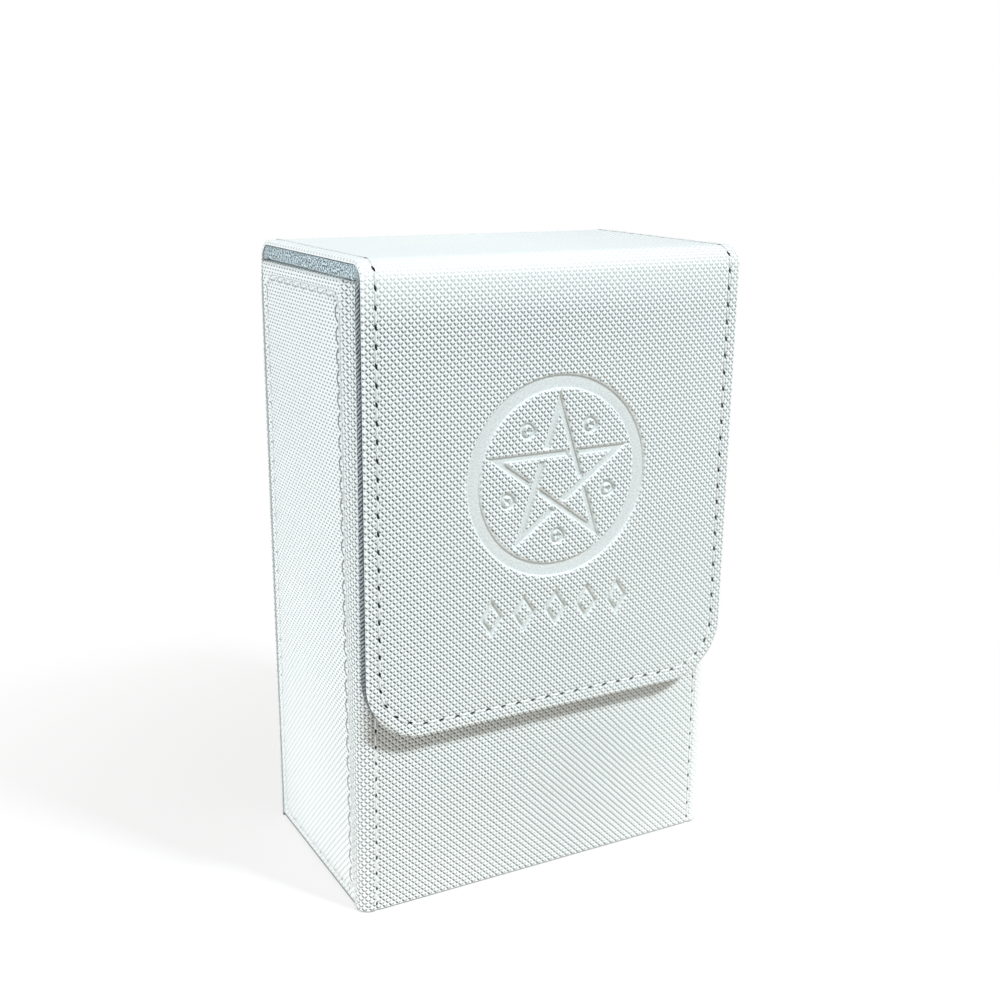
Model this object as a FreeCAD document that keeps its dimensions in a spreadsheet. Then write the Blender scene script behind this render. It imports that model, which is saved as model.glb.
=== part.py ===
import FreeCAD, Part
import math
import os

import Sketcher

# Upright card box with a fold-over lid and a long front flap. Greyboard walls are covered outside
# in embossed synthetic leather and inside in microfibre. One width of leather runs up the back,
# over the lid and down the flap, and bends at two folds that are the hinges.
# X runs along the front, +Y points to the back, +Z up. The origin is the middle of the underside.

doc = FreeCAD.newDocument("card_box")

# Driving dimensions in millimetres
SIZES = {
    "overall_height": 135.0,
    "body_width": 84.0,
    "body_depth": 49.3,
    "lid_overhang": 1.1,
    "skin": 1.0,
    "board": 2.2,
    "lining": 0.8,
    "lid_gap": 0.3,
    "flap_gap": 0.4,
    "corner_radius": 3.0,
    "corner_wrap": 8.0,
    "fold_crease": 0.5,
    "flap_length": 91.7,
    "flap_corner": 12.0,
    "magnet_diameter": 10.0,
    "magnet_thickness": 1.5,
    "magnet_clearance": 0.1,
    "magnet_spread": 52.0,
    "magnet_rise": 14.0,
    "emblem_rise": 50.8,
    "emblem_radius": 21.0,
    "emblem_band": 2.6,
    "emblem_margin": 1.2,
    "emblem_depth": 0.4,
    "strip_width": 1.3,
    "strip_gap": 0.5,
    "dot_circle": 12.5,
    "dot_radius": 1.5,
    "dot_band": 0.6,
}

dims = doc.addObject("Spreadsheet::Sheet", "dims")
for row, (name, size) in enumerate(SIZES.items(), start=1):
    dims.set(f"A{row}", name)
    dims.set(f"B{row}", str(size))
    dims.setAlias(f"B{row}", name)
doc.recompute()

# Places that follow from the driving dimensions
WIDTH = "dims.body_width"
DEPTH = "dims.body_depth"
SKIN = "dims.skin"
BOARD = "dims.board"
LINING = "dims.lining"
CORE = "(dims.board + dims.lining)"
COVERED_BOARD = "(dims.skin + dims.board)"
PANEL = "(dims.skin + dims.board + dims.lining)"
LID_WIDTH = "(dims.body_width + 2 * dims.lid_overhang)"
FOLD_Z = f"(dims.overall_height - {PANEL})"
WALL_TOP = f"({FOLD_Z} - dims.lid_gap)"
BOARD_TOP = f"({WALL_TOP} - {SKIN})"
FRONT_Y = "(-dims.body_depth / 2)"
BACK_Y = "(dims.body_depth / 2)"
FLAP_Y = f"({FRONT_Y} - dims.flap_gap)"
BACK_FOLD_Y = f"({BACK_Y} - {PANEL})"
LID_DEPTH = f"({BACK_FOLD_Y} - {FLAP_Y})"
INNER_WIDTH = f"({WIDTH} - 2 * {PANEL})"
INNER_DEPTH = f"({DEPTH} - 2 * {PANEL})"
FLAP_BOTTOM = f"({FOLD_Z} - dims.flap_length)"
MAGNET_Z = f"({FLAP_BOTTOM} + dims.magnet_rise)"
# The front board's rounded corners take no more than this share of its thickness
CORNER_SHARE = 0.9
CORNER_INNER = f"min(dims.corner_radius - dims.skin; {CORNER_SHARE} * dims.board)"
CORNER_OUTER = f"({CORNER_INNER} + {SKIN})"


def value(expression):
    return float(dims.evalExpression(expression))


def place(piece, x="0", y="0", z="0"):
    for axis, expression in zip("xyz", (x, y, z)):
        piece.setExpression(f"Placement.Base.{axis}", expression)


def plate(label, size, corner):
    """A plain rectangular layer, by its size and its lowest corner."""
    piece = doc.addObject("Part::Box", label)
    for side, expression in zip(("Length", "Width", "Height"), size):
        piece.setExpression(side, expression)
    place(piece, *corner)
    return piece


def new_body(label):
    return doc.addObject("PartDesign::Body", label)


def sketch_on(body, role, raised=None, shifted=None):
    """A sketch on one of the body's own origin planes, raised along its normal, shifted up in it."""
    sketch = body.newObject("Sketcher::SketchObject", f"{body.Name}_outline")
    plane = next(feature for feature in body.Origin.OriginFeatures if feature.Role == role)
    sketch.AttachmentSupport = [(plane, "")]
    sketch.MapMode = "FlatFace"
    if raised:
        sketch.setExpression("AttachmentOffset.Base.z", raised)
    if shifted:
        sketch.setExpression("AttachmentOffset.Base.y", shifted)
    return sketch


def constrain(sketch, kind, *where, size=None):
    """Add one constraint, and bind its size to the sheet where it has one."""
    if size is None:
        sketch.addConstraint(Sketcher.Constraint(kind, *where))
        return
    index = sketch.addConstraint(Sketcher.Constraint(kind, *where, value(size)))
    sketch.setExpression(f"Constraints[{index}]", size)


def line(sketch, start, end):
    segment = Part.LineSegment(FreeCAD.Vector(*start, 0), FreeCAD.Vector(*end, 0))
    return sketch.addGeometry(segment)


def arc(sketch, centre, radius, first, last):
    circle = Part.Circle(FreeCAD.Vector(*centre, 0), FreeCAD.Vector(0, 0, 1), radius)
    return sketch.addGeometry(Part.ArcOfCircle(circle, math.radians(first), math.radians(last)))


# A sketch's own numbers for its two axes and for its origin, a geometry and its point
HORIZONTAL_AXIS_INDEX = -1
VERTICAL_AXIS_INDEX = -2
ORIGIN = (-1, 1)


def panel_outline(sketch, width, length, start="0", radius=None):
    """A panel centred across the sketch, from start upwards, its two lower corners rounded."""
    half = value(width) / 2
    low = value(start)
    high = low + value(length)
    bend = value(radius) if radius else 0.0
    foot = line(sketch, (bend - half, low), (half - bend, low))
    right = line(sketch, (half, low + bend), (half, high))
    top = line(sketch, (half, high), (-half, high))
    left = line(sketch, (-half, high), (-half, low + bend))
    constrain(sketch, "Coincident", right, 2, top, 1)
    constrain(sketch, "Coincident", top, 2, left, 1)
    constrain(sketch, "Horizontal", foot)
    constrain(sketch, "Vertical", right)
    constrain(sketch, "Symmetric", top, 1, top, 2, VERTICAL_AXIS_INDEX)
    constrain(sketch, "DistanceX", top, 2, top, 1, size=width)
    constrain(sketch, "DistanceY", foot, 1, top, 2, size=length)
    constrain(sketch, "DistanceY", *ORIGIN, foot, 1, size=start)
    if radius:
        right_bend = arc(sketch, (half - bend, low + bend), bend, 270, 360)
        left_bend = arc(sketch, (bend - half, low + bend), bend, 180, 270)
        constrain(sketch, "Tangent", foot, 2, right_bend, 1)
        constrain(sketch, "Tangent", right_bend, 2, right, 1)
        constrain(sketch, "Tangent", left, 2, left_bend, 1)
        constrain(sketch, "Tangent", left_bend, 2, foot, 1)
        constrain(sketch, "Equal", right_bend, left_bend)
        constrain(sketch, "Radius", right_bend, size=radius)
    else:
        constrain(sketch, "Vertical", left)
        constrain(sketch, "Coincident", foot, 2, right, 1)
        constrain(sketch, "Coincident", left, 2, foot, 1)
    return sketch


def fold_outline(sketch, outer, inner, first_angle):
    """A quarter ring about the sketch's origin, from first_angle to a quarter turn further."""
    large = arc(sketch, (0, 0), value(outer), first_angle, first_angle + 90)
    small = arc(sketch, (0, 0), value(inner), first_angle, first_angle + 90)
    axes = (HORIZONTAL_AXIS_INDEX, VERTICAL_AXIS_INDEX)
    if first_angle == 90:
        axes = (VERTICAL_AXIS_INDEX, HORIZONTAL_AXIS_INDEX)
    turns = [math.radians(first_angle + quarter) for quarter in (0, 90)]
    for end, turn, axis in zip((1, 2), turns, axes):
        direction = (math.cos(turn), math.sin(turn))
        near = [value(inner) * part for part in direction]
        far = [value(outer) * part for part in direction]
        edge = line(sketch, near, far)
        constrain(sketch, "Coincident", edge, 1, small, end)
        constrain(sketch, "Coincident", edge, 2, large, end)
        constrain(sketch, "PointOnObject", large, end, axis)
        constrain(sketch, "PointOnObject", small, end, axis)
    for ring, size in ((large, outer), (small, inner)):
        constrain(sketch, "Coincident", ring, 3, *ORIGIN)
        constrain(sketch, "Radius", ring, size=size)
    return sketch


def circle_outline(sketch, x, y, radius):
    centre = FreeCAD.Vector(value(x), value(y), 0)
    ring = sketch.addGeometry(Part.Circle(centre, FreeCAD.Vector(0, 0, 1), value(radius)))
    constrain(sketch, "DistanceX", *ORIGIN, ring, 3, size=x)
    constrain(sketch, "DistanceY", *ORIGIN, ring, 3, size=y)
    constrain(sketch, "Radius", ring, size=radius)


def extrude(body, kind, sketch, length, reverse=False, symmetric=False):
    """A Pad or a Pocket of the sketch."""
    feature = body.newObject(f"PartDesign::{kind}", f"{body.Name}_{kind.lower()}")
    feature.Profile = sketch
    feature.Reversed = reverse
    feature.SideType = "Symmetric" if symmetric else "One side"
    feature.setExpression("Length", length)
    return feature


def magnet_seats(body, rise, reverse):
    """Two blind round seats in a board's face, a magnet's thickness deep."""
    sketch = sketch_on(body, "XZ_Plane")
    seat = "dims.magnet_diameter / 2 + dims.magnet_clearance"
    for side in ("-", ""):
        circle_outline(sketch, f"{side}dims.magnet_spread / 2", rise, seat)
    extrude(body, "Pocket", sketch, "dims.magnet_thickness", reverse)


def magnet_pair(label, face_y, turn):
    """Two discs that start at face_y and reach along Y the way that turn points them."""
    discs = []
    for side in ("-", ""):
        disc = doc.addObject("Part::Cylinder", f"{label}_disc")
        disc.setExpression("Radius", "dims.magnet_diameter / 2")
        disc.setExpression("Height", "dims.magnet_thickness")
        disc.Placement.Rotation = FreeCAD.Rotation(FreeCAD.Vector(1, 0, 0), turn)
        place(disc, f"{side}dims.magnet_spread / 2", face_y, MAGNET_Z)
        discs.append(disc)
    pair = doc.addObject("Part::Compound", label)
    pair.Links = discs


# Floor: a leather cover under a board, and microfibre on it
base_skin = new_body("base_skin")
outline = panel_outline(sketch_on(base_skin, "XY_Plane"), f"{WIDTH} - 2 * {SKIN}",
                        f"{DEPTH} - 2 * {SKIN}", radius=CORNER_INNER)
extrude(base_skin, "Pad", outline, SKIN)
place(base_skin, y=f"{FRONT_Y} + {SKIN}")

plate(
    "base_board",
    (f"{WIDTH} - 2 * {COVERED_BOARD}", f"{DEPTH} - 2 * {COVERED_BOARD}", BOARD),
    (f"{COVERED_BOARD} - {WIDTH} / 2", f"{FRONT_Y} + {COVERED_BOARD}", SKIN),
)
plate(
    "base_lining",
    (INNER_WIDTH, INNER_DEPTH, LINING),
    (f"-{INNER_WIDTH} / 2", f"-{INNER_DEPTH} / 2", COVERED_BOARD),
)

# Front wall: a board with rounded outer corners and two magnets let into its face
front_board = new_body("front_board")
outline = panel_outline(sketch_on(front_board, "XY_Plane"), f"{WIDTH} - 2 * {SKIN}", BOARD,
                        radius=CORNER_INNER)
extrude(front_board, "Pad", outline, f"{BOARD_TOP} - {SKIN}")
doc.recompute()
magnet_seats(front_board, f"{MAGNET_Z} - {SKIN}", reverse=False)
place(front_board, y=f"{FRONT_Y} + {SKIN}", z=SKIN)
magnet_pair("front_magnets", f"{FRONT_Y} + {SKIN}", -90)

# The front leather wraps both front corners and turns over the rim, as wide as the wall is thick
front_skin = new_body("front_skin")
outline = panel_outline(sketch_on(front_skin, "XY_Plane"), WIDTH, "dims.corner_wrap",
                        radius=CORNER_OUTER)
extrude(front_skin, "Pad", outline, WALL_TOP)
doc.recompute()
outline = panel_outline(sketch_on(front_skin, "XY_Plane"), f"{WIDTH} - 2 * {SKIN}",
                        "dims.corner_wrap", start=SKIN, radius=CORNER_INNER)
extrude(front_skin, "Pocket", outline, BOARD_TOP, reverse=True)
doc.recompute()
outline = panel_outline(sketch_on(front_skin, "XY_Plane"), INNER_WIDTH, "dims.corner_wrap",
                        start=PANEL)
extrude(front_skin, "Pocket", outline, WALL_TOP, reverse=True)
place(front_skin, y=FRONT_Y)

plate(
    "front_lining",
    (f"{WIDTH} - 2 * {COVERED_BOARD}", LINING, f"{BOARD_TOP} - {COVERED_BOARD}"),
    (f"{COVERED_BOARD} - {WIDTH} / 2", f"{FRONT_Y} + {COVERED_BOARD}", COVERED_BOARD),
)

# Back wall: it stands as high as the fold, and its leather is as wide as the lid
plate(
    "back_board",
    (f"{WIDTH} - 2 * {SKIN}", BOARD, f"{FOLD_Z} - {SKIN}"),
    (f"{SKIN} - {WIDTH} / 2", f"{BACK_Y} - {COVERED_BOARD}", SKIN),
)
plate(
    "back_lining",
    (f"{WIDTH} - 2 * {COVERED_BOARD}", LINING, f"{FOLD_Z} - {COVERED_BOARD}"),
    (f"{COVERED_BOARD} - {WIDTH} / 2", BACK_FOLD_Y, COVERED_BOARD),
)
plate(
    "back_skin",
    (LID_WIDTH, SKIN, FOLD_Z),
    (f"-{LID_WIDTH} / 2", f"{BACK_Y} - {SKIN}", "0"),
)


def side_wall(name, outward):
    """A side's board, lining and leather; outward is -1 on the left and 1 on the right."""

    def across(inset, thickness):
        # The lower X of a layer whose outer face is inset from the wall's outside
        if outward > 0:
            return f"{WIDTH} / 2 - {inset} - {thickness}"
        return f"{inset} - {WIDTH} / 2"

    plate(
        f"{name}_board",
        (BOARD, f"{DEPTH} - 2 * {COVERED_BOARD}", f"{BOARD_TOP} - {SKIN}"),
        (across(SKIN, BOARD), f"{FRONT_Y} + {COVERED_BOARD}", SKIN),
    )
    plate(
        f"{name}_lining",
        (LINING, INNER_DEPTH, f"{BOARD_TOP} - {COVERED_BOARD}"),
        (across(COVERED_BOARD, LINING), f"-{INNER_DEPTH} / 2", COVERED_BOARD),
    )
    # The leather covers the wall up to the back skin, and its rim ends at the back lining
    cover = plate(
        f"{name}_cover",
        (SKIN, f"{DEPTH} - dims.corner_wrap - {SKIN}", WALL_TOP),
        (across("0", SKIN), f"{FRONT_Y} + dims.corner_wrap", "0"),
    )
    rim = plate(
        f"{name}_rim",
        (PANEL, f"{DEPTH} - dims.corner_wrap - {PANEL}", SKIN),
        (across("0", PANEL), f"{FRONT_Y} + dims.corner_wrap", BOARD_TOP),
    )
    skin = doc.addObject("Part::Fuse", f"{name}_side_skin")
    skin.Base = cover
    skin.Tool = rim
    skin.Refine = True


side_wall("left", -1)
side_wall("right", 1)


def leather_fold(name, centre_y, first_angle):
    """The bend from one panel to the next: leather outside, lining and padding inside it."""
    layers = (("skin", PANEL, CORE), ("lining", CORE, "dims.fold_crease"))
    for layer, outer, inner in layers:
        fold = new_body(f"{name}_fold_{layer}")
        outline = fold_outline(sketch_on(fold, "YZ_Plane"), outer, inner, first_angle)
        extrude(fold, "Pad", outline, LID_WIDTH, symmetric=True)
        place(fold, y=centre_y, z=FOLD_Z)


leather_fold("back", BACK_FOLD_Y, 0)
leather_fold("front", FLAP_Y, 90)

# Lid: its lining is a shallow tray, turned up round the board's edges, under the leather
lid_lining = new_body("lid_lining")
outline = panel_outline(sketch_on(lid_lining, "XY_Plane"), LID_WIDTH, LID_DEPTH)
extrude(lid_lining, "Pad", outline, CORE)
doc.recompute()
outline = panel_outline(sketch_on(lid_lining, "XY_Plane", raised=CORE), f"{LID_WIDTH} - 2 * {LINING}",
                        f"{LID_DEPTH} - 2 * {LINING}", start=LINING)
extrude(lid_lining, "Pocket", outline, BOARD)
place(lid_lining, y=FLAP_Y, z=FOLD_Z)

plate(
    "lid_board",
    (f"{LID_WIDTH} - 2 * {LINING}", f"{LID_DEPTH} - 2 * {LINING}", BOARD),
    (f"{LINING} - {LID_WIDTH} / 2", f"{FLAP_Y} + {LINING}", f"{FOLD_Z} + {LINING}"),
)
plate(
    "lid_skin",
    (LID_WIDTH, LID_DEPTH, SKIN),
    (f"-{LID_WIDTH} / 2", FLAP_Y, f"{FOLD_Z} + {CORE}"),
)

# Flap: the same three layers with rounded lower corners, hanging in front of the wall
flap_lining = new_body("flap_lining")
outline = panel_outline(sketch_on(flap_lining, "XZ_Plane"), LID_WIDTH, "dims.flap_length",
                        radius="dims.flap_corner")
extrude(flap_lining, "Pad", outline, CORE)
doc.recompute()
outline = panel_outline(sketch_on(flap_lining, "XZ_Plane", raised=CORE), f"{LID_WIDTH} - 2 * {LINING}",
                        f"dims.flap_length - 2 * {LINING}", start=LINING,
                        radius=f"dims.flap_corner - {LINING}")
extrude(flap_lining, "Pocket", outline, BOARD)
place(flap_lining, y=FLAP_Y, z=FLAP_BOTTOM)

flap_board = new_body("flap_board")
outline = panel_outline(sketch_on(flap_board, "XZ_Plane"), f"{LID_WIDTH} - 2 * {LINING}",
                        f"dims.flap_length - 2 * {LINING}", radius=f"dims.flap_corner - {LINING}")
extrude(flap_board, "Pad", outline, BOARD)
doc.recompute()
magnet_seats(flap_board, f"dims.magnet_rise - {LINING}", reverse=True)
place(flap_board, y=f"{FLAP_Y} - {LINING}", z=f"{FLAP_BOTTOM} + {LINING}")
magnet_pair("flap_magnets", f"{FLAP_Y} - {LINING}", 90)

flap_skin = new_body("flap_skin")
outline = panel_outline(sketch_on(flap_skin, "XZ_Plane"), LID_WIDTH, "dims.flap_length",
                        radius="dims.flap_corner")
extrude(flap_skin, "Pad", outline, SKIN)
place(flap_skin, y=f"{FLAP_Y} - {CORE}", z=FLAP_BOTTOM)
doc.recompute()

# Emblem pressed into the flap's face: a ring round a star of interlaced strips and ringed dots
STAR_POINTS = 5
STAR_RADIUS = "(dims.emblem_radius - dims.emblem_band - dims.emblem_margin)"
STRIP = "dims.strip_width"
SLOPE = math.radians(72)
POINT_ANGLE = math.radians(36)


def emblem_sketch():
    return sketch_on(flap_skin, "XZ_Plane", raised=SKIN, shifted="dims.emblem_rise")


def press(sketch):
    return extrude(flap_skin, "Pocket", sketch, "dims.emblem_depth")


def repeat_round_emblem(feature, sketch):
    doc.recompute()
    pattern = flap_skin.newObject("PartDesign::PolarPattern", "emblem_pattern")
    pattern.Originals = [feature]
    pattern.Axis = (sketch, ["N_Axis"])
    pattern.Angle = 360
    pattern.Occurrences = STAR_POINTS
    flap_skin.Tip = pattern
    doc.recompute()


def strip_point(along, across):
    """A point of the strip that runs from the top point down to the lower right one.

    along is counted from the top point on the strip's outer edge, across from that edge inwards.
    """
    x = f"({along}) * {math.cos(SLOPE)} - ({across}) * {math.sin(SLOPE)}"
    y = f"{STAR_RADIUS} - ({along}) * {math.sin(SLOPE)} - ({across}) * {math.cos(SLOPE)}"
    return x, y


def crossing(across, margin):
    """How far from the lower point the strip's edge meets the one that crosses above it."""
    drop = f"{STAR_RADIUS} * {1 - math.cos(SLOPE)} + {margin} - ({across}) * {math.cos(SLOPE)}"
    return f"({drop}) / {math.sin(SLOPE)}"


def strip_outline(sketch):
    """Two stretches of one strip, with a gap where it passes under another."""
    length = f"{STAR_RADIUS} * {2 * math.sin(SLOPE)}"
    point = f"{STRIP} / {math.tan(POINT_ANGLE)}"
    before = f"({STRIP} + dims.strip_gap)"
    after = "(-dims.strip_gap)"
    long_stretch = (
        ("0", "0"),
        (f"{length} - {crossing('0', before)}", "0"),
        (f"{length} - {crossing(STRIP, before)}", STRIP),
        (point, STRIP),
    )
    short_stretch = (
        (f"{length} - {crossing('0', after)}", "0"),
        (length, "0"),
        (f"{length} - {point}", STRIP),
        (f"{length} - {crossing(STRIP, after)}", STRIP),
    )
    for stretch in (long_stretch, short_stretch):
        corners = [strip_point(*corner) for corner in stretch]
        places = [(value(x), value(y)) for x, y in corners]
        edges = [line(sketch, start, end) for start, end in zip(places, places[1:] + places[:1])]
        for edge, following, (x, y) in zip(edges, edges[1:] + edges[:1], corners):
            constrain(sketch, "Coincident", edge, 2, following, 1)
            constrain(sketch, "DistanceX", *ORIGIN, edge, 1, size=x)
            constrain(sketch, "DistanceY", *ORIGIN, edge, 1, size=y)


ring = emblem_sketch()
for radius in ("dims.emblem_radius", "dims.emblem_radius - dims.emblem_band"):
    circle_outline(ring, "0", "0", radius)
press(ring)
doc.recompute()

strip = emblem_sketch()
strip_outline(strip)
repeat_round_emblem(press(strip), strip)

dot = emblem_sketch()
for radius in ("dims.dot_radius", "dims.dot_radius - dims.dot_band", "dims.dot_band / 2"):
    circle_outline(dot, "0", "-dims.dot_circle", radius)
repeat_round_emblem(press(dot), dot)

NODES = [
    "base_board", "front_board", "back_board", "left_board", "right_board",
    "base_skin", "front_skin", "left_side_skin", "right_side_skin", "back_skin",
    "base_lining", "front_lining", "back_lining", "left_lining", "right_lining",
    "front_magnets",
    "back_fold_skin", "back_fold_lining",
    "lid_board", "lid_skin", "lid_lining",
    "front_fold_skin", "front_fold_lining",
    "flap_board", "flap_skin", "flap_lining", "flap_magnets",
]

# Nothing is written unless every object computed, every cut removed material and every shape is sound
for item in doc.Objects:
    if "Invalid" in item.State or "Error" in item.State:
        raise RuntimeError(f"{item.Label} did not compute: {item.State}")
    if item.TypeId == "PartDesign::Pocket" and item.Shape.Volume >= item.BaseFeature.Shape.Volume:
        raise RuntimeError(f"{item.Label} cuts nothing")
for node in NODES:
    shape = doc.getObject(node).Shape
    if shape.isNull() or not shape.isValid() or not shape.Solids:
        raise RuntimeError(f"{node} is not a sound solid")

os.makedirs("parts", exist_ok=True)
for node in NODES:
    doc.getObject(node).Shape.exportStep(f"parts/{node}.step")
    print(node, len(doc.getObject(node).Shape.Solids), round(doc.getObject(node).Shape.Volume, 2))
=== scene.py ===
import math

import bmesh
import bpy
import numpy as np
from mathutils import Matrix, Vector


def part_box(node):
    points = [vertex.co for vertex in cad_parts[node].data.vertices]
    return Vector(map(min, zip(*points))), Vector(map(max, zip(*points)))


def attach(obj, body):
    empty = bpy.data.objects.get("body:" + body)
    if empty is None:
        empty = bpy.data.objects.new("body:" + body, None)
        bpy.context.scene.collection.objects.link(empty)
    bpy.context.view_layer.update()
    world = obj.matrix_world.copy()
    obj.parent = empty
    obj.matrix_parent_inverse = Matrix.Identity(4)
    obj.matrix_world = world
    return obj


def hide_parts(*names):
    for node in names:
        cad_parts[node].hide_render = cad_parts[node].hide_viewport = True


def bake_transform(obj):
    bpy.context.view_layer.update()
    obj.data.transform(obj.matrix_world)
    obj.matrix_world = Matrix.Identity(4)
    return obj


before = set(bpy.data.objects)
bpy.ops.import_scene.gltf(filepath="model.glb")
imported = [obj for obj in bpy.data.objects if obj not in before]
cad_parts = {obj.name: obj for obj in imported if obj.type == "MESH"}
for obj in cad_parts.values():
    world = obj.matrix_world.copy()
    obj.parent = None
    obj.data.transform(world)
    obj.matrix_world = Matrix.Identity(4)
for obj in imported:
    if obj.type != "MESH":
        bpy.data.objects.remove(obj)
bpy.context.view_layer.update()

# Greyboard stiffeners
# Sheets of grey bookbinder's board, cut square, stiffen the floor, the walls, the lid and the flap.
# They are glued between leather and lining, so they keep the frame's shapes and get a pulpy finish.


class Tone:
    """A shader value that takes part in Python sums; each operator adds the Math node it needs."""

    def __init__(self, tree, socket=None):
        self.tree = tree
        self.socket = socket

    def node(self, kind, settings=None, sockets=None, output=0):
        """Add a node: its settings first, then the values or links of its sockets."""
        made = self.tree.nodes.new("ShaderNode" + kind)
        for name, setting in (settings or {}).items():
            setattr(made, name, setting)
        for name, value in (sockets or {}).items():
            self.feed(made.inputs[name], value)
        return Tone(self.tree, made.outputs[output])

    def feed(self, socket, value):
        """Link a value to a socket, or set the socket to a plain one."""
        if isinstance(value, Tone):
            self.tree.links.new(value.socket, socket)
        else:
            socket.default_value = value

    def other(self, output):
        """Another output of the node that this value comes from."""
        return Tone(self.tree, self.socket.node.outputs[output])

    def maths(self, operation, *others):
        return self.node("Math", {"operation": operation}, dict(enumerate((self, *others))))

    def rise(self, low, high):
        """0 below low, 1 above high, and smooth between them."""
        return self.node("MapRange", {"interpolation_type": "SMOOTHSTEP"}, {0: self, 1: low, 2: high})

    def between(self, first, second):
        """The first colour where this value is 0 and the second where it is 1."""
        return self.node("Mix", {"data_type": "RGBA"}, {0: self, 6: first, 7: second}, 2)

    def __add__(self, other):
        return self.maths("ADD", other)

    def __sub__(self, other):
        return self.maths("SUBTRACT", other)

    def __rsub__(self, other):
        return self.node("Math", {"operation": "SUBTRACT"}, {0: other, 1: self})

    def __mul__(self, other):
        return self.maths("MULTIPLY", other)

    def __truediv__(self, other):
        return self.maths("DIVIDE", other)

    def __pow__(self, other):
        return self.maths("POWER", other)

    def __abs__(self):
        return self.maths("ABSOLUTE")

    __radd__ = __add__
    __rmul__ = __mul__


def new_finish(name, plain):
    """A material, the start of its node tree, and its shader's sockets with the plain values set."""
    finish = bpy.data.materials.new(name)
    finish.use_nodes = True
    sockets = finish.node_tree.nodes["Principled BSDF"].inputs
    for socket, value in plain.items():
        sockets[socket].default_value = value
    return finish, Tone(finish.node_tree), sockets


def noise(place, scale, detail=2.0):
    return place.node("TexNoise", sockets={"Vector": place, "Scale": scale, "Detail": detail})


def dress(node, finish):
    """Give a frame solid one finish."""
    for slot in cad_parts[node].material_slots:
        slot.material = finish


pulp_finish, start, sockets = new_finish("greyboard_pulp", {"Roughness": 0.92, "Specular IOR Level": 0.25})
place = start.node("TexCoord", output="Object")
pulp = noise(place, 700.0, 7.0)
flecks = noise(place, 3200.0).rise(0.62, 0.7)
grey = pulp.rise(0.3, 0.7).between((0.34, 0.32, 0.29, 1), (0.5, 0.48, 0.44, 1))
start.feed(sockets["Base Color"], (flecks * 0.6).between(grey, (0.2, 0.18, 0.16, 1)))
start.feed(sockets["Normal"], start.node("Bump", sockets={"Height": pulp, "Distance": 0.00012}))
for panel in ("base", "front", "back", "left", "right", "lid", "flap"):
    dress(panel + "_board", pulp_finish)

# Magnets
# Two flat nickel-plated discs sit in the front wall and two in the flap, glued into blind seats.
# Leather and lining hide them; they hold the flap shut.

plate_finish, start, sockets = new_finish("nickel_plate", {"Metallic": 1.0})
place = start.node("TexCoord", output="Object")
scuffs = noise(place, 2500.0, 5.0)
start.feed(sockets["Base Color"], scuffs.between((0.58, 0.57, 0.55, 1), (0.72, 0.71, 0.69, 1)))
start.feed(sockets["Roughness"], scuffs * 0.25 + 0.15)
for magnets in ("front_magnets", "flap_magnets"):
    dress(magnets, plate_finish)

# Linings of the floor, the front and the sides
# Blue-grey microfibre, cut to each inside face and glued down with its edges pressed under.
# Its short nap lies in soft clouds and shows as fine pale and dark flecks.

MM = 0.001
NAP_DARK = (0.03, 0.046, 0.054, 1)
NAP_PALE = (0.56, 0.7, 0.74, 1)
# Tones of the flap band's twill, darkened as painted shade.
TURNED_DARK = (0.008, 0.012, 0.016, 1)
TURNED_PALE = (0.34, 0.41, 0.44, 1)
# Near-black colour of the painted shade in the lining bands.
TUCKED = (0.02, 0.025, 0.028, 1)
TWILL_HALF = 0.45
FIBRE_STRETCH = (0.35, 0.8, 1.0)
LINING_STEP = 3.0
LINING_EDGE = 0.45
X, Y, Z = 0, 1, 2


def mark(start, name):
    """A mark that a mesh carries, from 0 to 1 or in millimetres."""
    return start.node("Attribute", {"attribute_name": name}, output="Fac")


nap_finish, start, sockets = new_finish("grey_microfibre", {
    "Roughness": 0.95, "Specular IOR Level": 0.2, "Sheen Weight": 0.25, "Sheen Roughness": 0.5})
place = start.node("Attribute", {"attribute_name": "grain"}, output="Vector")
along = start.node("SeparateXYZ", sockets={0: place})
fleck = noise(place, 2.4, 0.0)
cloud = noise(place, 0.07, 3.0)
drawn_out = start.node("VectorMath", {"operation": "MULTIPLY"}, {0: place, 1: FIBRE_STRETCH})
fibres = noise(drawn_out, 2.6, 0.0)
slope = along * 0.65 + along.other("Y") + fibres * 0.5
twill = slope.maths("PINGPONG", TWILL_HALF) / TWILL_HALF
soft_nap = fleck.rise(0.3, 0.7) * 0.45 + 0.22
rough_nap = fleck.rise(0.46, 0.54) * 0.9
nap = soft_nap + (rough_nap - soft_nap) * mark(start, "rolled") + cloud * 0.2
# The flap's turned band shows a diagonal twill, the cloth's own weave, in darker tones that are painted
# shade.
woven = (twill * 0.8 + fibres * 0.5).rise(0.53, 0.8).between(TURNED_DARK, TURNED_PALE)
cloth = mark(start, "turned").between(nap.between(NAP_DARK, NAP_PALE), woven)
# Painted shade: the lining goes near black in the gap under the leather's edge and on the flap's band.
start.feed(sockets["Base Color"], mark(start, "tucked").between(cloth, TUCKED))
start.feed(sockets["Normal"], start.node("Bump", sockets={"Height": fleck, "Distance": 0.00015}))


def span(node):
    """A frame node's lowest and highest corner, in millimetres."""
    return np.array(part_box(node)) / MM


def roll(distance, radius):
    """How far a rounded edge falls away at a distance inside its outline."""
    short = np.clip(radius - distance, 0.0, radius)
    return radius - np.sqrt(radius ** 2 - short ** 2)


def eased(low, high, step, edge=(0.0, 0.15, 0.4, 0.8, 1.4, 2.2)):
    """Stations from low to high, close together near both ends."""
    edge = np.array(edge)
    count = max(2, round((high - low - 2 * edge[-1]) / step))
    middle = np.linspace(low + edge[-1], high - edge[-1], count + 1)
    return np.concatenate([low + edge[:-1], middle, high - edge[-2::-1]])


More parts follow.
